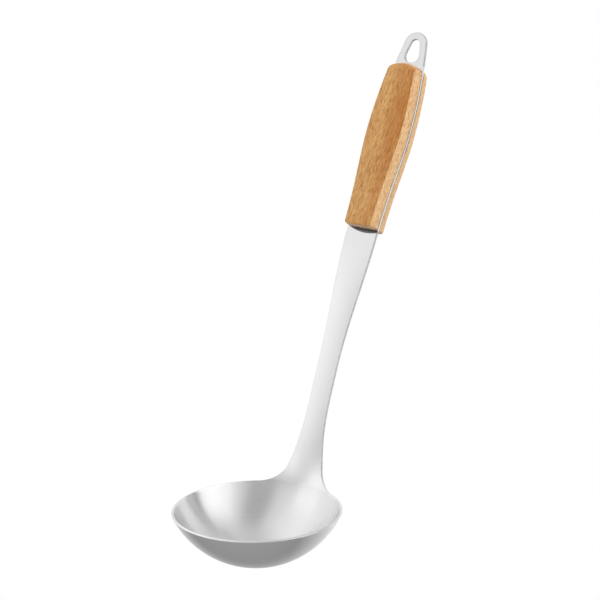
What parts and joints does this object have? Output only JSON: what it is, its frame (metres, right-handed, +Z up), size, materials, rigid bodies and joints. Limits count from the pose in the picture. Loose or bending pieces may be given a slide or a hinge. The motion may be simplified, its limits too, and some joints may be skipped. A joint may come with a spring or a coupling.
{
  "type": "soup ladle",
  "caption": "Soup ladle with a round tilted bowl, a flat tapering shank, a two-scale wooden grip and a slotted eye to hang it by.",
  "frame": {"origin": "centre of the upper arc of the hanging slot, half way through the steel", "axes": "+Z up along the flat tang, away from the bowl; -Y to the front, the side the bowl opens to; +X to the right, seen from the front"},
  "size_m": [0.0956, 0.0805, 0.3268],
  "materials": {
    "brushed_steel": "satin, brushed along the shank and round the inside of the bowl",
    "oiled_wood": "oiled hardwood, fine short grain along the grip",
    "adhesive": "dark set adhesive",
    "pin_steel": "plain drawn wire"
  },
  "bodies": {
    "root": {"steel_blank": "brushed_steel", "front_scale": "oiled_wood", "rear_scale": "oiled_wood", "front_glue_film": "adhesive", "rear_glue_film": "adhesive", "locating_pins": "pin_steel"}
  },
  "joints": []
}
